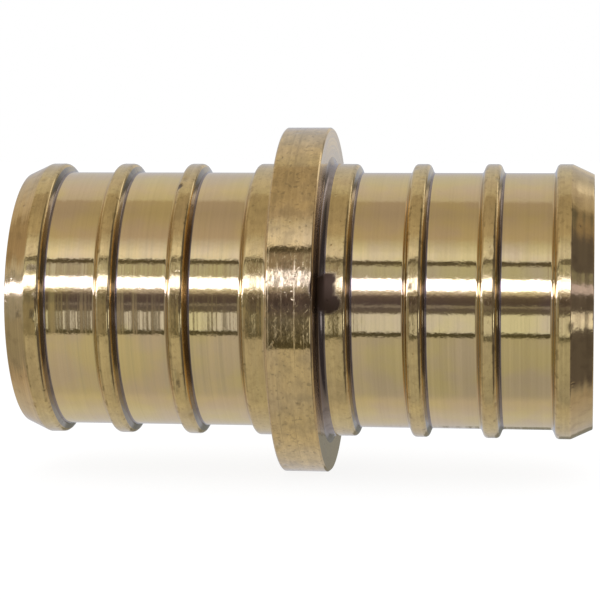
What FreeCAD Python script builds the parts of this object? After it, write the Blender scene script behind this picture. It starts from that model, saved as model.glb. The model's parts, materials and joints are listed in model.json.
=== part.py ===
"""Insert coupling for crimped plastic water tube, turned from one brass bar.

The axis of the bore is +X and +Z is up. The origin is the middle of the stop collar on that axis.
Both sides are alike: a stepped shoulder against the collar, three ribs at an even pitch, and a
tapered lead-in that starts at the crest of the end rib.
"""
import FreeCAD, Part
import Sketcher
import os

NODE = "coupling_body"
TOLERANCE = 1e-4

# Millimetres. "reach" is a distance from the middle of the collar along the axis.
SIZES = {
    "overall_length": 35.1,
    "collar_diameter": 21.4,
    "collar_width": 2.8,
    "collar_bevel": 0.1,
    "collar_root_round": 0.45,
    "rib_diameter": 16.9,
    "root_diameter": 15.8,
    "nose_diameter": 15.65,
    "nose_round": 0.12,
    "shoulder_reach": 3.06,
    "shoulder_slope": 0.23,
    "first_rib_reach": 7.05,
    "rib_pitch": 4.36,
    "rib_base": 1.3,
    "rib_crest": 0.84,
    "rib_embed": 0.4,
    "lead_reach": 16.22,
    "crest_round": 0.25,
    "root_round": 0.12,
    "bore_diameter": 13.5,
    "mouth_bevel": 0.3,
}
RIBS_PER_SIDE = 3


def make_sheet(doc):
    """The driving dimensions, one row each: a label and an aliased value."""
    sheet = doc.addObject("Spreadsheet::Sheet", "sizes")
    for row, (alias, value) in enumerate(SIZES.items(), start=1):
        sheet.set(f"A{row}", alias)
        sheet.set(f"B{row}", str(value))
        sheet.setAlias(f"B{row}", alias)
    doc.recompute()
    return sheet


def origin_feature(body, role):
    """The body's own origin plane or axis with this role."""
    return next(item for item in body.Origin.OriginFeatures if item.Role == role)


def new_sketch(body, name, plane):
    """An empty sketch on one of the body's origin planes."""
    sketch = body.newObject("Sketcher::SketchObject", name)
    sketch.AttachmentSupport = [(origin_feature(body, plane), "")]
    sketch.MapMode = "FlatFace"
    return sketch


def bind(sketch, constraint, name, expression):
    """Adds a constraint, names it and binds its value to the sheet."""
    index = sketch.addConstraint(constraint)
    sketch.renameConstraint(index, name)
    sketch.setExpression("Constraints." + name, expression)


def outline(body, sheet, name, corners):
    """A closed outline in the plane of the axis; each corner is a pair of sheet expressions."""
    sketch = new_sketch(body, name, "XZ_Plane")
    points = [FreeCAD.Vector(*(float(sheet.evalExpression(text)) for text in pair), 0) for pair in corners]
    count = len(points)
    for index, point in enumerate(points):
        sketch.addGeometry(Part.LineSegment(point, points[(index + 1) % count]), False)
    for index in range(count):
        sketch.addConstraint(Sketcher.Constraint("Coincident", index, 2, (index + 1) % count, 1))
    for index, (point, pair) in enumerate(zip(points, corners)):
        along = Sketcher.Constraint("DistanceX", -1, 1, index, 1, point.x)
        bind(sketch, along, f"along_{index}", pair[0])
        if abs(point.y) < TOLERANCE:
            sketch.addConstraint(Sketcher.Constraint("PointOnObject", index, 1, -1))
        else:
            radial = Sketcher.Constraint("DistanceY", -1, 1, index, 1, point.y)
            bind(sketch, radial, f"radius_{index}", pair[1])
    return sketch


def revolve(body, sketch, name):
    """Turns a sketched outline right round the bore's axis and joins it to the body."""
    turned = body.newObject("PartDesign::Revolution", name)
    turned.Profile = sketch
    turned.ReferenceAxis = (sketch, ["H_Axis"])
    turned.Angle = 360
    return turned


def rings(shape, radius, places):
    """Names of the circular edges of this radius that lie at these distances from the collar's middle."""
    names = []
    for number, edge in enumerate(shape.Edges, start=1):
        curve = edge.Curve
        if not isinstance(curve, Part.Circle) or abs(curve.Radius - radius) > TOLERANCE:
            continue
        if any(abs(abs(curve.Center.x) - place) < TOLERANCE for place in places):
            names.append(f"Edge{number}")
    return names


def dress(body, kind, name, size_property, alias, radius, places):
    """A Fillet or Chamfer on rings of the current shape, its size bound to the sheet."""
    base = body.Tip
    edges = rings(base.Shape, radius, places)
    if len(edges) != 2 * len(places):
        raise RuntimeError(f"{name}: found {len(edges)} rings, expected {2 * len(places)}")
    feature = body.newObject("PartDesign::" + kind, name)
    feature.Base = (base, edges)
    feature.setExpression(size_property, "sizes." + alias)
    body.Document.recompute()
    return feature


def make_blank(body, sheet):
    """Collar, shoulders, barrel and tapered noses as one turned outline."""
    right = [
        ("sizes.overall_length / 2", "0"),
        ("sizes.overall_length / 2", "sizes.nose_diameter / 2"),
        ("sizes.lead_reach", "sizes.rib_diameter / 2"),
        ("sizes.first_rib_reach + 2 * sizes.rib_pitch", "sizes.rib_diameter / 2"),
        ("sizes.first_rib_reach + 2 * sizes.rib_pitch", "sizes.root_diameter / 2"),
        ("sizes.shoulder_reach + sizes.shoulder_slope", "sizes.root_diameter / 2"),
        ("sizes.shoulder_reach", "sizes.rib_diameter / 2"),
        ("sizes.collar_width / 2", "sizes.rib_diameter / 2"),
        ("sizes.collar_width / 2", "sizes.collar_diameter / 2"),
    ]
    left = [(f"-({along})", radius) for along, radius in reversed(right)]
    return revolve(body, outline(body, sheet, "blank_outline", right + left), "blank")


def make_ribs(body, sheet):
    """One tapered rib, repeated along the barrel and mirrored to the other side."""
    centre = "sizes.first_rib_reach"
    corners = [
        (f"{centre} - sizes.rib_base / 2", "sizes.root_diameter / 2 - sizes.rib_embed"),
        (f"{centre} - sizes.rib_base / 2", "sizes.root_diameter / 2"),
        (f"{centre} - sizes.rib_crest / 2", "sizes.rib_diameter / 2"),
        (f"{centre} + sizes.rib_crest / 2", "sizes.rib_diameter / 2"),
        (f"{centre} + sizes.rib_base / 2", "sizes.root_diameter / 2"),
        (f"{centre} + sizes.rib_base / 2", "sizes.root_diameter / 2 - sizes.rib_embed"),
    ]
    rib = revolve(body, outline(body, sheet, "rib_outline", corners), "first_rib")
    body.Document.recompute()

    ribs = body.newObject("PartDesign::MultiTransform", "ribs")
    ribs.Originals = [rib]
    row = body.newObject("PartDesign::LinearPattern", "rib_row")
    row.Direction = (origin_feature(body, "X_Axis"), [""])
    row.Occurrences = RIBS_PER_SIDE
    row.setExpression("Length", f"{RIBS_PER_SIDE - 1} * sizes.rib_pitch")
    other_side = body.newObject("PartDesign::Mirrored", "other_side")
    other_side.MirrorPlane = (origin_feature(body, "YZ_Plane"), [""])
    ribs.Transformations = [row, other_side]
    body.Tip = ribs
    return ribs


def make_bore(body):
    """The waterway, drilled right through."""
    sketch = new_sketch(body, "bore_circle", "YZ_Plane")
    centre = FreeCAD.Vector(0, 0, 0)
    sketch.addGeometry(Part.Circle(centre, FreeCAD.Vector(0, 0, 1), SIZES["bore_diameter"] / 2), False)
    sketch.addConstraint(Sketcher.Constraint("Coincident", 0, 3, -1, 1))
    bind(sketch, Sketcher.Constraint("Diameter", 0, SIZES["bore_diameter"]), "bore", "sizes.bore_diameter")
    bore = body.newObject("PartDesign::Pocket", "waterway")
    bore.Profile = sketch
    bore.Midplane = True
    bore.Type = "ThroughAll"
    body.Document.recompute()
    return bore


def dress_edges(body):
    """Breaks and rounds the turned edges, from the collar outwards."""
    crest = SIZES["rib_diameter"] / 2
    root = SIZES["root_diameter"] / 2
    end = SIZES["overall_length"] / 2
    centres = [SIZES["first_rib_reach"] + step * SIZES["rib_pitch"] for step in range(RIBS_PER_SIDE)]
    half_crest = SIZES["rib_crest"] / 2
    half_base = SIZES["rib_base"] / 2
    collar_face = SIZES["collar_width"] / 2
    shoulder = SIZES["shoulder_reach"]

    dress(body, "Fillet", "collar_root", "Radius", "collar_root_round", crest, [collar_face])
    dress(body, "Chamfer", "collar_edges", "Size", "collar_bevel", SIZES["collar_diameter"] / 2, [collar_face])
    crests = [shoulder] + [centre - half_crest for centre in centres]
    crests += [centre + half_crest for centre in centres[:-1]] + [SIZES["lead_reach"]]
    dress(body, "Fillet", "crest_edges", "Radius", "crest_round", crest, crests)
    roots = [shoulder + SIZES["shoulder_slope"]] + [centre - half_base for centre in centres]
    roots += [centre + half_base for centre in centres[:-1]]
    dress(body, "Fillet", "root_corners", "Radius", "root_round", root, roots)
    dress(body, "Fillet", "nose_edges", "Radius", "nose_round", SIZES["nose_diameter"] / 2, [end])
    dress(body, "Chamfer", "mouth_edges", "Size", "mouth_bevel", SIZES["bore_diameter"] / 2, [end])


def check(doc, body):
    """Stops before anything is written if an object failed or the solid isn't one sound piece."""
    for item in doc.Objects:
        if "Invalid" in item.State or "Error" in item.State:
            raise RuntimeError(f"{item.Name} is {item.State}")
    shape = body.Shape
    if shape.isNull() or not shape.isValid() or len(shape.Solids) != 1:
        raise RuntimeError(f"{body.Label} isn't one valid solid")
    box = shape.optimalBoundingBox(False)
    span = (box.XLength, box.YLength, box.ZLength)
    wanted = (SIZES["overall_length"], SIZES["collar_diameter"], SIZES["collar_diameter"])
    if any(abs(found - size) > 0.01 for found, size in zip(span, wanted)):
        raise RuntimeError(f"{body.Label} measures {span}, not {wanted}")
    print(f"{body.Label}: {shape.Volume:.1f} mm3, {len(shape.Faces)} faces, box {span}")


def main():
    os.makedirs("parts", exist_ok=True)
    doc = FreeCAD.newDocument("insert_coupling")
    sheet = make_sheet(doc)
    body = doc.addObject("PartDesign::Body", NODE)
    body.Label = NODE
    body.Placement = FreeCAD.Placement()
    make_blank(body, sheet)
    doc.recompute()
    make_ribs(body, sheet)
    doc.recompute()
    make_bore(body)
    dress_edges(body)
    doc.recompute()
    check(doc, body)
    body.Shape.exportStep(f"parts/{body.Label}.step")


main()
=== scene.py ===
"""Brass insert coupling: its detailed turned surface, the brass finishes and a soft studio.

The part lies along X with its stop collar on the floor. Everything is in metres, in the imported
part's own frame. "Reach" is a distance from the middle of the collar along the axis.
"""
import json
import math
import random

import bpy
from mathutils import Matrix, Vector, noise


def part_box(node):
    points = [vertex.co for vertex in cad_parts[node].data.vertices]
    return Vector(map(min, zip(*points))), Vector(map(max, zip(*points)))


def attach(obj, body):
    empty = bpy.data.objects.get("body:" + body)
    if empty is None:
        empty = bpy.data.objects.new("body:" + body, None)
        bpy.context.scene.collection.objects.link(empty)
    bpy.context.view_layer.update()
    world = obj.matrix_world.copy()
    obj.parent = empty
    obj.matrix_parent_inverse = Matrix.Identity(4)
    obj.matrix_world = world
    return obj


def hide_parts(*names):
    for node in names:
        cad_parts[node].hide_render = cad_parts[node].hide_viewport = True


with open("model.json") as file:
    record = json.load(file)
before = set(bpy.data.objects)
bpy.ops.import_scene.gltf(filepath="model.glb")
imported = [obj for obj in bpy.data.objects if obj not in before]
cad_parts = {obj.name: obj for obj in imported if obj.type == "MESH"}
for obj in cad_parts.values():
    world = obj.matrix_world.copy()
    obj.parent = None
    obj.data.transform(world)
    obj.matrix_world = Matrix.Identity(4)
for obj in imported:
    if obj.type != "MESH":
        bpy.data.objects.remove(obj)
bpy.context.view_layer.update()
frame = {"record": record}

NODE = "coupling_body"
MM = 0.001

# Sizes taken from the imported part
MOUNTS = {mount["name"]: mount for mount in frame["record"]["mounts"]}
LOW_CORNER, HIGH_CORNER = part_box(NODE)
HALF_LENGTH = HIGH_CORNER.x
COLLAR_RADIUS = min(-LOW_CORNER.y, HIGH_CORNER.y, -LOW_CORNER.z, HIGH_CORNER.z)
COLLAR_HALF = MOUNTS["right_stop"]["pos_m"][0]
RIB_RADIUS = MOUNTS["right_insert"]["dims"]["r_mm"] * MM
BORE_RADIUS = MOUNTS["waterway"]["dims"]["r_mm"] * MM

# The rest of the turned outline
ROOT_RADIUS = RIB_RADIUS - 0.55 * MM
NOSE_RADIUS = RIB_RADIUS - 0.625 * MM
COLLAR_BEVEL = 0.1 * MM
SHOULDER_REACH = 3.06 * MM
SHOULDER_SLOPE = 0.23 * MM
RIB_REACHES = [(7.05 + 4.36 * step) * MM for step in range(3)]
RIB_BASE = 1.3 * MM
RIB_CREST = 0.84 * MM
LEAD_REACH = 16.22 * MM
MOUTH_BEVEL = 0.3 * MM
COLLAR_ROOT_ROUND = 0.45 * MM
CREST_ROUND = 0.25 * MM
ROOT_ROUND = 0.12 * MM
EDGE_ROUND = 0.04 * MM
NOSE_ROUND = 2 * EDGE_ROUND

# Mesh density: steps round the part, the longest step along the outline on each finish, the steps in
# each rounded corner, and how near to a corner the next point of a straight stretch lies
TURN_STEPS = 280
LONGEST_STEPS = {
    "barrel": 0.7 * MM, "crest": 0.15 * MM, "flank": 0.2 * MM, "collar": 0.13 * MM, "face": 0.4 * MM,
    "lead": 0.2 * MM, "bore": 2.6 * MM,
}
ARC_STEPS = 3
SUPPORT_GAP = 0.04 * MM

# Dents and pits with a place of their own: reach and angle of the middle in mm and degrees, half
# sizes along and round the part in mm, and depth in mm
DENTS = [
    (-7.45, 58, 0.16, 0.22, 0.06), (-7.1, -29, 0.10, 0.4, 0.04), (-7.2, -37, 0.10, 0.3, 0.03),
    (-15.7, 16, 0.14, 0.16, 0.02), (-15.5, -4, 0.10, 0.2, 0.03), (-11.2, -14, 0.1, 0.15, 0.02),
    (6.9, 9, 0.1, 0.14, 0.02), (11.6, 24, 0.1, 0.2, 0.03), (16.1, -6, 0.12, 0.3, 0.02),
    (-1.15, -52, 0.14, 0.2, 0.05), (-1.05, -68, 0.12, 0.25, 0.05), (1.2, 34, 0.1, 0.2, 0.04),
]

# Dents spread by chance over the side away from the camera: how many, between which angles, least and
# greatest half size along the part and how much longer they are round it, and their depth, in mm
CREST_CHANCE = {"count": 9, "angles": (62, 322), "sizes": (0.1, 0.16), "longer": (0.8, 2), "depth": 0.03}
COLLAR_CHANCE = {"count": 40, "angles": (70, 290), "sizes": (0.1, 0.18), "longer": (0.7, 1.5), "depth": 0.035}
COLLAR_CHANCE_REACH = 1.3

# A slow unevenness all over the ribs and the collar: its depth, and its bumps per mm
RIPPLE_DEPTH = 0.0015 * MM
RIPPLE_PER_MM = 0.9

# Dark spots, stains and patches of painted shade: reach and angle of the middle, half sizes along and
# round the part in mm, and how dark they are, 0 to 1. The first three make up a patch of painted shade
# right of the collar, where the collar shades its shoulder, and the last is painted shade on the flank
# of a rib; the rest are stains and dark spots.
STAINS_AND_PAINTED_SHADE = [
    (1.85, 7.6, 0.66, 0.98, 1.0), (2.15, 12.5, 0.42, 0.4, 1.0), (2.12, 2.6, 0.74, 0.66, 1.0),
    (-7.45, 58, 0.2, 0.3, 0.8), (-7.1, -33, 0.1, 0.35, 0.6), (-15.75, 16, 0.35, 0.22, 0.6),
    (-15.7, -3, 0.16, 0.3, 0.6), (-15.5, 5, 0.16, 0.2, 0.5), (-16.6, -3.6, 0.16, 0.2, 0.5),
    (6.9, 9.3, 0.14, 0.2, 0.6), (16.2, -6, 0.14, 0.3, 0.5), (0.25, 10.3, 0.16, 0.16, 0.6),
    (0.8, 10.6, 0.16, 0.16, 0.6), (-0.35, -2.5, 0.12, 0.16, 0.5), (0.45, -31, 0.08, 0.12, 0.4),
    (-0.55, -47, 0.1, 0.08, 0.4), (-6.42, 2, 0.2, 5.4, 0.6),
]
# The finishes that take stains and painted shade, and the one dark colour of both
STAIN_AND_SHADE_FINISHES = ("crest", "collar", "lead", "flank", "root")
STAIN_AND_SHADE_COLOUR = (0.085, 0.052, 0.030)

# Where a stain or a patch of painted shade has faded out and how long its fade is, as shares of its half
# sizes
STAIN_AND_SHADE_END = 1.12
STAIN_AND_SHADE_FADE = 0.24

# Painted shade in the corner right of the collar, on its front only: the angle of its middle, how far it
# goes round either way, over how many degrees it fades, and how fast it thins out up the collar's face.
# The roots of the ribs have a little dirt and painted shade all round.
PAINTED_SHADE_MIDDLE = 3
PAINTED_SHADE_SPREAD = 52
PAINTED_SHADE_FADE = 18
PAINTED_SHADE_THINNING = 2.2
ROOT_GRIME_AND_SHADE = 0.25

# Score lines on the collar that run round it: reach and width in mm, angles from and to, how dark and
# how rough they are. Their ends fade over SCORE_FADE degrees.
SCORES = [
    (-0.52, 0.14, 42, 84, 0.4, 0.0), (-0.10, 0.14, 44, 84, 0.4, 0.0), (0.35, 0.07, -22, 17, 0.0, 0.22),
    (-0.40, 0.05, -8, 12, 0.0, 0.2), (-1.18, 0.06, -14, 24, 0.0, 0.2), (0.9, 0.05, -30, -9, 0.0, 0.12),
    (0.1, 0.06, -62, -34, 0.35, 0.0), (-0.75, 0.05, -50, -20, 0.3, 0.0),
]
SCORE_FADE = 8.0


def corner_arc(before, corner, after, radius):
    """Points of the arc that rounds a corner of the outline."""
    to_before = (before - corner).normalized()
    to_after = (after - corner).normalized()
    half_angle = to_before.angle(to_after) / 2
    cut = radius / math.tan(half_angle)
    centre = corner + (to_before + to_after).normalized() * radius / math.sin(half_angle)
    start = corner + to_before * cut - centre
    end = corner + to_after * cut - centre
    sweep = start.angle(end)
    points = []
    for step in range(ARC_STEPS + 1):
        share = step / ARC_STEPS
        weight_start = math.sin((1 - share) * sweep) / math.sin(sweep)
        weight_end = math.sin(share * sweep) / math.sin(sweep)
        points.append(centre + start * weight_start + end * weight_end)
    return points


def half_outline():
    """Corners of the right half, from the collar's top to the bore: reach, radius, rounding, and the
    finish of the stretch that follows."""
    corners = [
        (COLLAR_HALF - COLLAR_BEVEL, COLLAR_RADIUS, EDGE_ROUND, "collar"),
        (COLLAR_HALF, COLLAR_RADIUS - COLLAR_BEVEL, EDGE_ROUND, "face"),
        (COLLAR_HALF, RIB_RADIUS, COLLAR_ROOT_ROUND, "crest"),
        (SHOULDER_REACH, RIB_RADIUS, CREST_ROUND, "flank"),
        (SHOULDER_REACH + SHOULDER_SLOPE, ROOT_RADIUS, ROOT_ROUND, "barrel"),
    ]
    for reach in RIB_REACHES:
        corners += [
            (reach - RIB_BASE / 2, ROOT_RADIUS, ROOT_ROUND, "flank"),
            (reach - RIB_CREST / 2, RIB_RADIUS, CREST_ROUND, "crest"),
        ]
        if reach == RIB_REACHES[-1]:
            corners.append((LEAD_REACH, RIB_RADIUS, CREST_ROUND, "lead"))
        else:
            corners += [
                (reach + RIB_CREST / 2, RIB_RADIUS, CREST_ROUND, "flank"),
                (reach + RIB_BASE / 2, ROOT_RADIUS, ROOT_ROUND, "barrel"),
            ]
    corners += [
        (HALF_LENGTH, NOSE_RADIUS, NOSE_ROUND, "face"),
        (HALF_LENGTH, BORE_RADIUS + MOUTH_BEVEL, EDGE_ROUND, "face"),
        (HALF_LENGTH - MOUTH_BEVEL, BORE_RADIUS, EDGE_ROUND, "bore"),
    ]
    return corners


def outline():
    """The closed section: points (reach, radius), each with the finish of the stretch after it and
    whether it lies on a rounded edge (1), in a rounded root (-1) or on a straight stretch (0)."""
    right = half_outline()
    finishes = [finish for *_, finish in right]
    names = finishes + finishes[-2::-1] + ["collar"]
    both = [corner[:3] for corner in right] + [(-reach, *rest) for reach, *rest, _ in reversed(right)]
    corners = [Vector(place) for *place, _ in both]
    rounds = [rounding for *_, rounding in both]
    arcs, bends = [], []
    count = len(corners)
    for index, corner in enumerate(corners):
        before, after = corners[index - 1], corners[(index + 1) % count]
        arcs.append(corner_arc(before, corner, after, rounds[index]))
        turn = (corner - before).cross(after - corner)
        bends.append(1.0 if turn < 0 else -1.0)
    points = []
    for index, arc in enumerate(arcs):
        arc_name = names[index - 1] if names[index] == "flank" else names[index]
        if bends[index] < 0 and corners[index].y < corners[index - 1].y:
            # Rib roots take the darker root finish, painted shade in the creases with a little dirt
            arc_name = "root" if corners[index].y < RIB_RADIUS else "face"
        points += [(point, arc_name, bends[index]) for point in arc]
        start, end = arc[-1], arcs[(index + 1) % count][0]
        length = (end - start).length
        pieces = max(1, math.ceil(length / LONGEST_STEPS[names[index]]))
        support = min(SUPPORT_GAP, length / 4) / length
        shares = [support] + [step / pieces for step in range(1, pieces)] + [1 - support]
        points += [(start.lerp(end, share), names[index], 0.0) for share in shares]
    return points


class Wear:
    """How far dents, pits and dull edges reach into the brass at a place on its outside."""

    SPREAD = 1.6

    def __init__(self):
        chance = random.Random(5)
        self.dents = list(DENTS)
        half = RIB_CREST / 2 / MM
        for middle in [reach * side / MM for reach in RIB_REACHES for side in (-1, 1)]:
            for _ in range(CREST_CHANCE["count"]):
                place = middle + half * chance.choice((-1, 1)) * chance.uniform(0.3, 1.1)
                self.add_by_chance(chance, place, CREST_CHANCE)
        for _ in range(COLLAR_CHANCE["count"]):
            place = chance.uniform(-COLLAR_CHANCE_REACH, COLLAR_CHANCE_REACH)
            self.add_by_chance(chance, place, COLLAR_CHANCE)

    def add_by_chance(self, chance, place, limits):
        """Adds a dent at a reach in mm, with its angle and sizes drawn between limits."""
        size = chance.uniform(*limits["sizes"])
        angle = chance.uniform(*limits["angles"])
        self.dents.append((place, angle, size, size * chance.uniform(*limits["longer"]), limits["depth"]))

    def depth(self, reach, radius, angle):
        """Depth in metres, and how much of a dent there is, 0 to 1."""
        deepest, share = 0.0, 0.0
        for middle, turned, along, around, depth in self.dents:
            offset = (reach / MM - middle) / along
            if abs(offset) > self.SPREAD:
                continue
            swing = (angle - turned + 180) % 360 - 180
            off = math.radians(swing) * radius / MM / around
            distance = math.hypot(offset, off)
            if distance < self.SPREAD:
                fill = (1 - (distance / self.SPREAD) ** 2) ** 2
                deepest = max(deepest, depth * fill)
                share = max(share, fill)
        return deepest * MM, share


def stain_and_painted_shade(reach, radius, angle):
    """How dark the stains and the patches of painted shade are at a place, 0 to 1."""
    darkest = 0.0
    for middle, turned, along, around, dark in STAINS_AND_PAINTED_SHADE:
        offset = (reach / MM - middle) / along
        swing = (angle - turned + 180) % 360 - 180
        off = math.radians(swing) * radius / MM / around
        distance = math.hypot(offset, off)
        darkest = max(darkest, dark * min(1.0, max(0.0, (STAIN_AND_SHADE_END - distance) / STAIN_AND_SHADE_FADE)))
    return darkest


def corner_grime_and_shade(point, bend, angle):
    """How darkened a place is in the corners, 0 to 1: a little dirt and painted shade in the roots of the
    ribs, and strong painted shade in the front of the corner right of the collar. The collar's land and
    its left corner are not darkened."""
    beside_collar = abs(point.x) < COLLAR_HALF + COLLAR_ROOT_ROUND and point.y > RIB_RADIUS - 0.01 * MM
    if not beside_collar:
        return ROOT_GRIME_AND_SHADE if bend < 0 else 0.0
    if point.x < COLLAR_HALF - 0.001 * MM:
        return 0.0
    height = (point.y - RIB_RADIUS) / (COLLAR_RADIUS - RIB_RADIUS)
    swing = (angle + 180) % 360 - 180
    # Painted shade on the front of the corner only
    in_front = min(1.0, max(0.0, (PAINTED_SHADE_SPREAD - abs(swing - PAINTED_SHADE_MIDDLE)) / PAINTED_SHADE_FADE))
    return in_front * max(0.0, 1.0 - PAINTED_SHADE_THINNING * height)


def turned_mesh(points):
    """The outline turned right round the axis, with its dents, and the values that its materials read."""
    wear = Wear()
    vertices, faces, finishes = [], [], []
    recess, edge, dent, darkened = [], [], [], []
    ring = len(points)
    for turn in range(TURN_STEPS):
        turned = math.tau * turn / TURN_STEPS
        up, side, angle = math.sin(turned), math.cos(turned), math.degrees(turned)
        for point, finish, bend in points:
            radius, share = point.y, 0.0
            if finish not in ("bore", "barrel") and radius > ROOT_RADIUS + 0.2 * MM:
                depth, share = wear.depth(point.x, radius, angle)
                ripple = noise.noise(Vector((point.x, radius * side, radius * up)) / MM * RIPPLE_PER_MM)
                radius -= depth + RIPPLE_DEPTH * (1 + ripple)
            vertices.append((point.x, -radius * side, radius * up))
            # recess values: painted shade in the corners, with a little dirt in the rib roots
            recess.append(corner_grime_and_shade(point, bend, angle))
            edge.append(1.0 if bend > 0 else 0.0)
            dent.append(share)
            darkened.append(stain_and_painted_shade(point.x, point.y, angle) if finish in STAIN_AND_SHADE_FINISHES else 0.0)
    for turn in range(TURN_STEPS):
        base, ahead = turn * ring, (turn + 1) % TURN_STEPS * ring
        for index in range(ring):
            following = (index + 1) % ring
            faces.append((base + index, ahead + index, ahead + following, base + following))
            finishes.append(points[index][1])
    return vertices, faces, finishes, {"recess": recess, "edge": edge, "dent": dent, "stain_and_painted_shade": darkened}


class Tree:
    """Short calls that add and join shader nodes."""

    def __init__(self, tree):
        self.tree = tree
        tree.nodes.clear()

    def add(self, kind, inputs=(), **settings):
        node = self.tree.nodes.new(kind)
        for name, value in settings.items():
            setattr(node, name, value)
        for key, value in dict(inputs).items():
            self.put(node.inputs[key], value)
        return node

    def put(self, socket, value):
        if isinstance(value, bpy.types.NodeSocket):
            self.tree.links.new(value, socket)
        else:
            socket.default_value = value

    def math(self, operation, first, second=0.0, third=0.0):
        node = self.add("ShaderNodeMath", {0: first, 1: second, 2: third}, operation=operation)
        return node.outputs[0]

    def window(self, value, low, high, soft):
        """1 between low and high, 0 outside, with soft edges."""
        rise = self.span(value, low - soft / 2, low + soft / 2)
        fall = self.span(value, high + soft / 2, high - soft / 2)
        return self.math("MULTIPLY", rise, fall)

    def span(self, value, start, end, low=0.0, high=1.0):
        """Maps start..end smoothly to low..high."""
        inputs = {"Value": value, "From Min": start, "From Max": end, "To Min": low, "To Max": high}
        return self.add("ShaderNodeMapRange", inputs, interpolation_type="SMOOTHSTEP").outputs["Result"]

    def ramp(self, value, stops):
        """Colours at places 0..1."""
        node = self.add("ShaderNodeValToRGB", {"Fac": value})
        elements = node.color_ramp.elements
        while len(elements) > 1:
            elements.remove(elements[-1])
        elements[0].position = stops[0][0]
        elements[0].color = (*stops[0][1], 1)
        for place, colour in stops[1:]:
            elements.new(place).color = (*colour, 1)
        return node.outputs["Color"]

    def mix(self, share, first, second, blend="MIX"):
        node = self.add("ShaderNodeMix", data_type="RGBA", blend_type=blend)
        self.put(node.inputs["Factor"], share)
        for socket, value in zip([s for s in node.inputs if s.type == "RGBA"], (first, second)):
            self.put(socket, (*value, 1) if isinstance(value, tuple) else value)
        return next(s for s in node.outputs if s.type == "RGBA")

    def noise(self, vector, scale, detail=2.0, roughness=0.5):
        inputs = {"Vector": vector, "Scale": scale, "Detail": detail, "Roughness": roughness}
        return self.add("ShaderNodeTexNoise", inputs).outputs["Fac"]

    def vector(self, operation, first, second):
        """Vector maths. For SCALE the second value is a number."""
        key = "Scale" if operation == "SCALE" else 1
        return self.add("ShaderNodeVectorMath", {0: first, key: second}, operation=operation).outputs[0]

    def length(self, value):
        return self.add("ShaderNodeVectorMath", {0: value}, operation="LENGTH").outputs["Value"]

    def joined(self, along, across, up):
        return self.add("ShaderNodeCombineXYZ", {0: along, 1: across, 2: up}).outputs[0]


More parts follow.
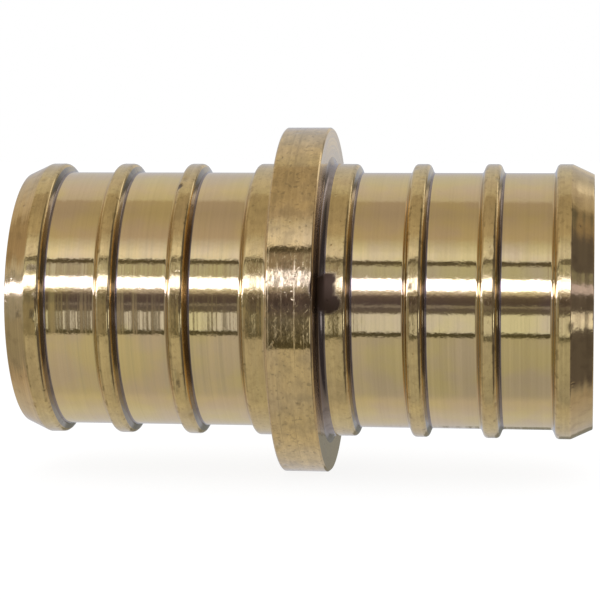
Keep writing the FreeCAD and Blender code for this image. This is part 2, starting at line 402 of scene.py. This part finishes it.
class Brass:
    """One brass finish: a material and the places and patterns that it is built from."""

    def __init__(self, name):
        self.material = bpy.data.materials.new(name)
        self.material.use_nodes = True
        self.tree = tree = Tree(self.material.node_tree)
        self.spot = tree.vector("SCALE", tree.add("ShaderNodeTexCoord").outputs["Object"], 1 / MM)
        self.along, self.across, self.up = tree.add("ShaderNodeSeparateXYZ", {0: self.spot}).outputs
        self.radius = tree.length(tree.joined(0.0, self.across, self.up))
        self.travel = tree.math("ADD", self.along, self.radius)

    def attribute(self, name):
        return self.tree.add("ShaderNodeAttribute", attribute_name=name).outputs["Fac"]

    def arc(self):
        """Distance round the part in mm, from the side away from the camera."""
        return self.tree.math("MULTIPLY", self.tree.math("ARCTAN2", self.up, self.across), self.radius)

    def rings(self, per_mm, around, detail=1.0):
        """Noise drawn out round the part, as a lathe tool leaves it, spread evenly about 0."""
        tree = self.tree
        stretch = ((self.travel, per_mm), (self.across, around), (self.up, around))
        place = tree.joined(*(tree.math("MULTIPLY", value, scale) for value, scale in stretch))
        return tree.math("SUBTRACT", tree.noise(place, 1.0, detail), 0.5)

    def patches(self, per_mm, detail=2.0):
        """Soft blotches, spread evenly about 0."""
        return self.tree.math("SUBTRACT", self.tree.noise(self.spot, per_mm, detail), 0.5)

    def pits(self, per_mm, low, high):
        """Scattered small spots, 1 in their middles."""
        return self.tree.span(self.tree.noise(self.spot, per_mm, 1.0), low, high)

    def scratches(self, slant, per_mm, across_per_mm):
        """Short fine scratches that run at a slant to the part's axis, 1 along their middles."""
        tree, arc = self.tree, self.arc()
        cosine, sine = math.cos(math.radians(slant)), math.sin(math.radians(slant))
        ahead = tree.math("MULTIPLY_ADD", self.travel, cosine, tree.math("MULTIPLY", arc, sine))
        beside = tree.math("MULTIPLY_ADD", self.travel, -sine, tree.math("MULTIPLY", arc, cosine))
        stretched = tree.math("MULTIPLY", ahead, per_mm)
        place = tree.joined(stretched, tree.math("MULTIPLY", beside, across_per_mm), 0.0)
        return tree.span(tree.noise(place, 1.0, 0.0), 0.77, 0.86)

    def flecks(self):
        """Short fine strokes round the part, spread evenly about 0."""
        tree = self.tree
        along = tree.math("MULTIPLY", self.travel, 6.0)
        around = tree.math("MULTIPLY", self.arc(), 1.8)
        return tree.math("SUBTRACT", tree.noise(tree.joined(along, around, 0.0), 1.0, 3.0, 0.6), 0.5)

    def scores(self):
        """How dark and how rough the score lines make a place."""
        tree = self.tree
        towards = tree.math("MULTIPLY", self.across, -1.0)
        turned = tree.math("DEGREES", tree.math("ARCTAN2", self.up, towards))
        uneven = tree.span(self.patches(1.2), -0.3, 0.0)
        darkness, coarseness = 0.0, 0.0
        for reach, width, low, high, dark, rough in SCORES:
            line = tree.window(self.along, reach - width / 2, reach + width / 2, width)
            line = tree.math("MULTIPLY", line, uneven)
            share = tree.math("MULTIPLY", line, tree.window(turned, low, high, SCORE_FADE))
            if dark:
                darkness = tree.math("MULTIPLY_ADD", share, dark, darkness)
            if rough:
                coarseness = tree.math("MULTIPLY_ADD", share, rough, coarseness)
        return darkness, coarseness

    def groove_normal(self, lean, spread, fine, coarse, around):
        """The normal tipped along the outline by lathe grooves: a steady lean, and a spread about it."""
        tree = self.tree
        normal = tree.add("ShaderNodeNewGeometry").outputs["Normal"]
        round_way = tree.add("ShaderNodeTangent", direction_type="RADIAL", axis="X").outputs[0]
        outline_way = tree.vector("CROSS_PRODUCT", normal, round_way)
        both = tree.math("ADD", self.rings(fine, around), self.rings(coarse, around))
        tip = tree.math("MULTIPLY_ADD", both, spread * 5.0, lean)
        tipped = tree.vector("SCALE", outline_way, tip)
        return tree.vector("NORMALIZE", tree.vector("ADD", normal, tipped), (0, 0, 0))

    def finish(self, colour, roughness, normal, anisotropic=0.0):
        tree = self.tree
        inputs = {"Base Color": colour, "Metallic": 1.0, "Roughness": roughness, "Normal": normal,
                  "Anisotropic": anisotropic, "Anisotropic Rotation": 0.25}
        shader = tree.add("ShaderNodeBsdfPrincipled", inputs)
        if anisotropic:
            tangent = tree.add("ShaderNodeTangent", direction_type="RADIAL", axis="X")
            tree.put(shader.inputs["Tangent"], tangent.outputs[0])
        tree.add("ShaderNodeOutputMaterial", {"Surface": shader.outputs[0]})
        return self.material


# The patterns in the brass: patches, pits and specks per mm, and for each set of scratches its slant
# in degrees and how many there are per mm along and across
TINT_PATCHES = 0.32
CLOUDS = 1.3
CHIPS = 1.9
SPECKLES = 3.6
DULL_PATCHES = 0.9
GRAINS = 4.0
PITS = 2.6
SCRATCH_SETS = ((35, 0.9, 9.0), (-50, 1.3, 11.0))

# How strongly dents darken the brass, how much rougher stains and patches of painted shade are, and how
# high the relief is
DENT_DARKNESS = 0.55
STAIN_AND_SHADE_ROUGHNESS = 0.25
RELIEF_HEIGHT = 0.012 * MM


def turned_brass(name, tint, blush, shade, lean, spread, fine, coarse, roughness, anisotropic=0.0,
                 pitting=0.0, mottle=0.0, streaking=0.3, around=0.05, dullness=0.03, grain=0.25,
                 scratching=0.1, edge_wear=0.0, grime_and_shade=0.6, scored=False, flecked=0.0, speckled=0.0):
    """Brass with lathe grooves, colour patches, pits, stains, and painted shade in its roots, corners and a
    few patches.
    """
    look = Brass(name)
    tree = look.tree
    patch = tree.span(look.patches(TINT_PATCHES, 3.0), -0.16, 0.16)
    colour = tree.mix(patch, tint, blush)
    rings = tree.math("MULTIPLY_ADD", look.rings(fine * 0.8, around), streaking, 1.0)
    if flecked:
        rings = tree.math("MULTIPLY_ADD", look.flecks(), flecked, rings)
    ringed = tree.vector("MULTIPLY", colour, tree.joined(rings, rings, rings))
    spots = look.pits(PITS, 0.72, 0.8)
    # Painted shade in the corners, with a little dirt in the rib roots
    grime_and_painted_shade = look.attribute("recess")
    worn = look.attribute("dent")
    cloudy = tree.span(look.patches(CLOUDS, 4.0), -0.05, 0.2)
    scratches = tree.math("MAXIMUM", *(look.scratches(*lines) for lines in SCRATCH_SETS))
    chipped = tree.math("MULTIPLY", look.attribute("edge"), tree.span(look.patches(CHIPS, 3.0), 0.04, 0.2))
    dark = tree.math("MAXIMUM", tree.math("MULTIPLY", spots, pitting), tree.math("MULTIPLY", grime_and_painted_shade, grime_and_shade))
    dark = tree.math("MAXIMUM", dark, tree.math("MULTIPLY", worn, DENT_DARKNESS))
    dark = tree.math("MAXIMUM", dark, tree.math("MULTIPLY", cloudy, mottle))
    dark = tree.math("MAXIMUM", dark, tree.math("MULTIPLY", chipped, edge_wear))
    if speckled:
        speckles = tree.span(look.patches(SPECKLES, 4.0), 0.03, 0.22)
        dark = tree.math("MAXIMUM", dark, tree.math("MULTIPLY", speckles, speckled))
    dark = tree.math("MAXIMUM", dark, tree.math("MULTIPLY", scratches, scratching * 0.5))
    rough = tree.math("ADD", roughness, tree.math("MULTIPLY", spots, pitting * 0.2))
    if flecked:
        worn_fleck = tree.span(look.flecks(), 0.06, 0.22)
        rough = tree.math("MULTIPLY_ADD", worn_fleck, flecked * 0.3, rough)
    rough = tree.math("MULTIPLY_ADD", look.attribute("stain_and_painted_shade"), STAIN_AND_SHADE_ROUGHNESS, rough)
    if scored:
        score_dark, score_rough = look.scores()
        dark = tree.math("MAXIMUM", dark, score_dark)
        rough = tree.math("ADD", rough, score_rough)
    darkened = tree.mix(dark, ringed, shade)
    # The stains and the patches of painted shade, in their one dark colour
    darkened = tree.mix(look.attribute("stain_and_painted_shade"), darkened, STAIN_AND_SHADE_COLOUR)
    rough = tree.math("ADD", rough, tree.math("MULTIPLY", look.patches(DULL_PATCHES, 3.0), dullness))
    normal = look.groove_normal(lean, spread, fine, coarse, around)
    grains = tree.math("MULTIPLY", look.patches(GRAINS, 3.0), grain)
    relief = tree.math("MULTIPLY_ADD", spots, -pitting, grains)
    relief = tree.math("MULTIPLY_ADD", scratches, -scratching * 0.5, relief)
    bump = tree.add("ShaderNodeBump", {"Height": relief, "Distance": RELIEF_HEIGHT, "Normal": normal})
    return look.finish(darkened, rough, bump.outputs[0], anisotropic)


FINISHES = {
    "barrel": lambda: turned_brass(
        "brass_turned_barrel", (0.90, 0.68, 0.29), (0.85, 0.63, 0.35), (0.36, 0.27, 0.14),
        lean=0.045, spread=0.034, fine=9.0, coarse=3.2, roughness=0.10, anisotropic=0.9, dullness=0.0,
        streaking=0.12),
    "crest": lambda: turned_brass(
        "brass_rib_crest", (0.83, 0.61, 0.26), (0.76, 0.55, 0.25), (0.36, 0.25, 0.10),
        lean=0.0, spread=0.012, fine=7.0, coarse=3.0, roughness=0.11, pitting=0.5, mottle=0.18, grain=0.4,
        scratching=0.12, edge_wear=0.6, flecked=0.35, speckled=0.3),
    # Rib flanks: brass darkened to about half all round, as painted shade on the sides of the ribs
    "flank": lambda: turned_brass(
        "brass_rib_flank_painted_shade", (0.45, 0.39, 0.29), (0.40, 0.345, 0.265), (0.15, 0.13, 0.10),
        lean=0.0, spread=0.012, fine=7.0, coarse=3.0, roughness=0.12, pitting=0.3, mottle=0.2),
    "collar": lambda: turned_brass(
        "brass_collar_land", (0.86, 0.61, 0.27), (0.80, 0.58, 0.30), (0.30, 0.23, 0.12),
        lean=0.0, spread=0.006, fine=6.0, coarse=2.4, roughness=0.07, pitting=0.6, mottle=0.3,
        scratching=0.3, edge_wear=0.3, scored=True, flecked=0.5, speckled=0.5),
    # Rib roots: darker brass as painted shade in the creases, with a little dirt
    "root": lambda: turned_brass(
        "brass_root_painted_shade", (0.42, 0.33, 0.25), (0.36, 0.28, 0.22), (0.13, 0.10, 0.08),
        lean=0.0, spread=0.012, fine=7.0, coarse=3.0, roughness=0.16, pitting=0.4, mottle=0.4),
    # The face's strong corner darkening is painted shade in the front of the corner by the collar
    "face": lambda: turned_brass(
        "brass_turned_face", (0.86, 0.63, 0.29), (0.80, 0.58, 0.30), (0.20, 0.16, 0.12),
        lean=0.0, spread=0.03, fine=8.0, coarse=3.0, roughness=0.14, anisotropic=0.6, pitting=0.5,
        grime_and_shade=0.9),
    "lead": lambda: turned_brass(
        "brass_lead_cone", (0.84, 0.61, 0.28), (0.80, 0.57, 0.28), (0.30, 0.20, 0.09),
        lean=0.0, spread=0.04, fine=7.0, coarse=3.0, roughness=0.13, anisotropic=0.6, pitting=0.5,
        mottle=0.25, streaking=0.4, edge_wear=0.5),
    "bore": lambda: turned_brass(
        "brass_drilled_bore", (0.80, 0.58, 0.26), (0.74, 0.52, 0.25), (0.30, 0.22, 0.11),
        lean=0.0, spread=0.06, fine=4.0, coarse=1.4, roughness=0.3, anisotropic=0.5, pitting=0.3),
}


def make_coupling():
    """The whole coupling as one surface, with a material for each finish."""
    vertices, faces, finishes, values = turned_mesh(outline())
    mesh = bpy.data.meshes.new("coupling_surface")
    mesh.from_pydata(vertices, [], faces)
    for name, numbers in values.items():
        mesh.attributes.new(name, "FLOAT", "POINT").data.foreach_set("value", numbers)
    order = list(FINISHES)
    for finish in order:
        mesh.materials.append(FINISHES[finish]())
    mesh.polygons.foreach_set("material_index", [order.index(finish) for finish in finishes])
    mesh.polygons.foreach_set("use_smooth", [True] * len(faces))
    mesh.update()
    coupling = bpy.data.objects.new("coupling_surface", mesh)
    bpy.context.scene.collection.objects.link(coupling)
    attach(coupling, "root")
    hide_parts(NODE)


# The studio as it shows in the brass. A direction is an angle turned about the part's axis (0 is
# level on the camera's side, 90 overhead, -90 straight down) and an angle aside, towards the right.
# Stops are angle turned, brightness and tint.
PLAIN = (1.0, 1.0, 1.0)
COOL = (1.0, 1.05, 1.2)
WARM = (1.0, 0.92, 0.84)
ROOM = [
    (-180, 0.56, COOL), (-150, 0.565, COOL), (-121, 0.565, COOL), (-108, 0.535, (1, 1.02, 1.1)),
    (-98, 0.53, PLAIN), (-90, 0.47, PLAIN), (-70, 0.46, PLAIN), (-40, 0.50, PLAIN),
    (-28, 0.50, PLAIN), (38, 0.84, (1, 1.02, 1.15)), (45, 0.83, (1, 1.02, 1.15)),
    (49, 0.72, (1, 1.01, 1.1)), (55, 0.575, PLAIN), (60, 0.475, WARM), (75, 0.42, WARM),
    (86, 0.385, WARM), (101, 0.41, WARM), (104.5, 0.54, PLAIN), (120, 0.59, (1, 1, 1.09)),
    (135, 0.573, COOL), (150, 0.56, COOL), (180, 0.56, COOL),
]

# The dark band across the front of the room, between two angles turned
BAND_EDGES = (-28.7, 38.8)
DARK_BAND = [
    (-29, 0.08, (1, 0.97, 0.7)), (-24, 0.07, (1, 0.97, 0.7)), (-8, 0.14, PLAIN),
    (-5, 0.12, (1, 0.94, 1.1)), (-1, 0.1, (1, 0.92, 1.2)), (2.4, 0.085, (1, 0.85, 1.1)),
    (6, 0.11, (1, 0.88, 1.05)), (9.4, 0.22, (1, 0.9, 1.05)), (22, 0.29, (1, 0.9, 0.9)),
    (33, 0.28, (1, 0.9, 0.9)), (36, 0.08, (1, 0.93, 0.75)), (39, 0.08, (1, 0.91, 0.7)),
]

# How the room darkens from left to right, in front and behind: angle aside, brightness and tint
FRONT_DIMMING = [
    (-90, 0.58, PLAIN), (-60, 0.66, PLAIN), (-40, 0.66, PLAIN), (-25, 0.8, PLAIN), (-15, 0.98, PLAIN),
    (-9, 0.98, PLAIN), (-5, 0.93, (1, 1.03, 1.08)), (-1.5, 0.86, (1, 1.04, 1.08)), (4, 0.8, (1, 1.04, 1.07)),
    (14, 0.78, PLAIN), (90, 0.7, PLAIN),
]
BACK_DIMMING = [
    (-90, 0.8, WARM), (-50, 0.85, WARM), (-13, 1.0, PLAIN), (-1.5, 0.97, PLAIN), (15, 0.9, PLAIN),
    (43, 0.75, WARM), (90, 0.7, WARM),
]

# Cards in front of the room, later ones nearer: angles turned from and to, angles aside from and
# to, softness of the turned edges and of the side edges, brightness and tint
CARDS = {
    "left_low": (-28.5, 4.0, -95, -10.2, 4.0, 2.5, 0.3, (1, 0.97, 0.9)),
    "left_mid": (-1.0, 12.0, -95, -10.2, 4.0, 2.5, 0.22, PLAIN),
    "cream_card": (-24.5, -8.0, -6.3, 10, 1.0, 0.7, 0.68, (0.97, 1.06, 1.22)),
    "pale_line": (-2.5, -0.5, -5.9, 95, 0.8, 0.7, 0.24, (1, 1.0, 1.15)),
    "olive_card": (23.0, 34.5, -6.5, 11, 0.8, 1.0, 0.48, (0.96, 1.04, 1.08)),
    "left_olive": (23.0, 34.5, -95, -9.8, 0.8, 1.5, 0.55, (0.96, 1.04, 1.15)),
    "left_side": (-28.0, 38.0, -95, -40, 1.5, 12, 0.36, (0.96, 1.01, 1.15)),
    "right_post": (40, 100, 20, 38, 10, 6, 0.14, PLAIN),
    "right_side": (-85, 76, 16, 98, 14, 7, 0.11, (1.0, 0.96, 1.15)),
    "right_cream": (-24.5, -8.0, 32, 52, 1.0, 8, 1.1, (0.97, 1.06, 1.28)),
    "right_olive": (23.0, 34.5, 32, 52, 0.8, 8, 0.3, (0.96, 1.04, 1.0)),
    "strip_fade": (9.4, 15, -95, 14, 4.0, 3.0, 0.62, (0.98, 0.98, 1.05)),
    "strip_light": (12.6, 22.5, -95, 14, 2.0, 3.0, 3.2, (0.92, 1.03, 1.6)),
    "strip_left": (11.0, 24.0, -95, -42, 2.0, 8.0, 4.6, (0.9, 1.02, 1.8)),
    "strip_end": (12.6, 22.5, 30, 95, 2.0, 8.0, 0.62, (1, 1.0, 1.5)),
    "strip_gap": (9.0, 24.0, -8.1, -6.2, 2.0, 0.5, 0.3, (1, 1.02, 1.1)),
    "backdrop": (160, 185, 3, 14, 6, 3, 0.64, (1, 0.98, 0.95)),
    "back_shade": (-175, -150, -2, 14, 3, 3, 0.24, (1, 1.02, 0.95)),
    "back_light": (124, 140, 25, 66, 4, 14, 1.0, (1, 1.02, 1.15)),
    "back_dark": (146, 180, 24, 80, 4, 10, 0.22, PLAIN),
    "back_low": (-180, -160, 24, 80, 6, 10, 0.22, PLAIN),
}


def lit(level, tint):
    """The colour of a tint at a brightness."""
    return tuple(level * part for part in tint)


class Studio:
    """The world's shader: the room, its dark band and the cards."""

    def __init__(self, tree):
        self.tree = tree
        direction = tree.add("ShaderNodeTexCoord").outputs["Generated"]
        along, across, up = tree.add("ShaderNodeSeparateXYZ", {0: direction}).outputs
        towards = tree.math("MULTIPLY", across, -1.0)
        self.turned = tree.math("DEGREES", tree.math("ARCTAN2", up, towards))
        self.aside = tree.math("DEGREES", tree.math("ARCSINE", along))

    def stops(self, value, stops):
        """Colours along an angle."""
        low, high = stops[0][0], stops[-1][0]
        share = self.tree.add("ShaderNodeMapRange", {"Value": value, "From Min": low, "From Max": high})
        places = [((angle - low) / (high - low), lit(level, tint)) for angle, level, tint in stops]
        return self.tree.ramp(share.outputs[0], places)

    def room(self):
        """The room as it darkens to the sides, with the dark band across its front."""
        tree = self.tree
        overhead = tree.span(self.turned, 45, 65)
        below = tree.span(self.turned, -85, -100)
        behind = tree.math("MAXIMUM", overhead, below)
        front, back = self.stops(self.aside, FRONT_DIMMING), self.stops(self.aside, BACK_DIMMING)
        dimming = tree.mix(behind, front, back)
        dimmed = tree.mix(1.0, self.stops(self.turned, ROOM), dimming, "MULTIPLY")
        in_band = tree.window(self.turned, *BAND_EDGES, 0.8)
        return tree.mix(in_band, dimmed, self.stops(self.turned, DARK_BAND))

    def seen(self):
        """The room with the cards in front of it."""
        tree = self.tree
        colour = self.room()
        for low, high, left, right, soft, side_soft, level, tint in CARDS.values():
            share = tree.math("MULTIPLY", tree.window(self.turned, low, high, soft),
                              tree.window(self.aside, left, right, side_soft))
            colour = tree.mix(share, colour, lit(level, tint))
        return colour


def make_world():
    """White to the camera, and the studio to whatever mirrors it."""
    world = bpy.data.worlds.new("soft_studio")
    bpy.context.scene.world = world
    world.use_nodes = True
    tree = Tree(world.node_tree)
    mirrored = tree.add("ShaderNodeLightPath").outputs["Is Glossy Ray"]
    colour = tree.mix(mirrored, (1.0, 1.0, 1.0), Studio(tree).seen())
    background = tree.add("ShaderNodeBackground", {"Color": colour})
    tree.add("ShaderNodeOutputWorld", {"Surface": background.outputs[0]})


FLOOR_SIZE = 4.0
FLOOR_GLOW = 0.8


def make_floor():
    """A plain pale floor under the collar. Its glow keeps the part's shadow faint."""
    bpy.ops.mesh.primitive_plane_add(size=FLOOR_SIZE, location=(0, 0, -COLLAR_RADIUS))
    floor = bpy.context.object
    floor.name = "floor"
    material = bpy.data.materials.new("pale_floor")
    material.use_nodes = True
    tree = Tree(material.node_tree)
    matt = tree.add("ShaderNodeBsdfDiffuse", {"Color": (0.9, 0.9, 0.9, 1)})
    glow = tree.add("ShaderNodeEmission", {"Color": (1, 1, 1, 1), "Strength": 1.1})
    blend = tree.add("ShaderNodeMixShader", {0: FLOOR_GLOW, 1: matt.outputs[0], 2: glow.outputs[0]})
    tree.add("ShaderNodeOutputMaterial", {"Surface": blend.outputs[0]})
    floor.data.materials.append(material)
    floor.visible_glossy = False


# Camera: in front of the part, a little to its right and above it
VIEW_AZIMUTH = math.radians(7.25)
VIEW_ELEVATION = math.radians(4.0)
VIEW_DISTANCE = 16.75 * RIB_RADIUS
LENS_MM = 136.0
AIM = Vector((-0.076, 0.0, -0.005)) * RIB_RADIUS


def make_camera():
    """The scene's camera, at the viewing angle of the constants above."""
    data = bpy.data.cameras.new("camera")
    data.lens = LENS_MM
    data.clip_start = 0.001
    camera = bpy.data.objects.new("camera", data)
    bpy.context.scene.collection.objects.link(camera)
    flat = math.cos(VIEW_ELEVATION)
    right, forward = math.sin(VIEW_AZIMUTH) * flat, math.cos(VIEW_AZIMUTH) * flat
    away = Vector((right, -forward, math.sin(VIEW_ELEVATION)))
    camera.location = AIM + away * VIEW_DISTANCE
    camera.rotation_euler = (-away).to_track_quat("-Z", "Y").to_euler()
    bpy.context.scene.camera = camera


make_camera()
make_world()
make_floor()
make_coupling()
bpy.context.scene.view_settings.view_transform = "Standard"
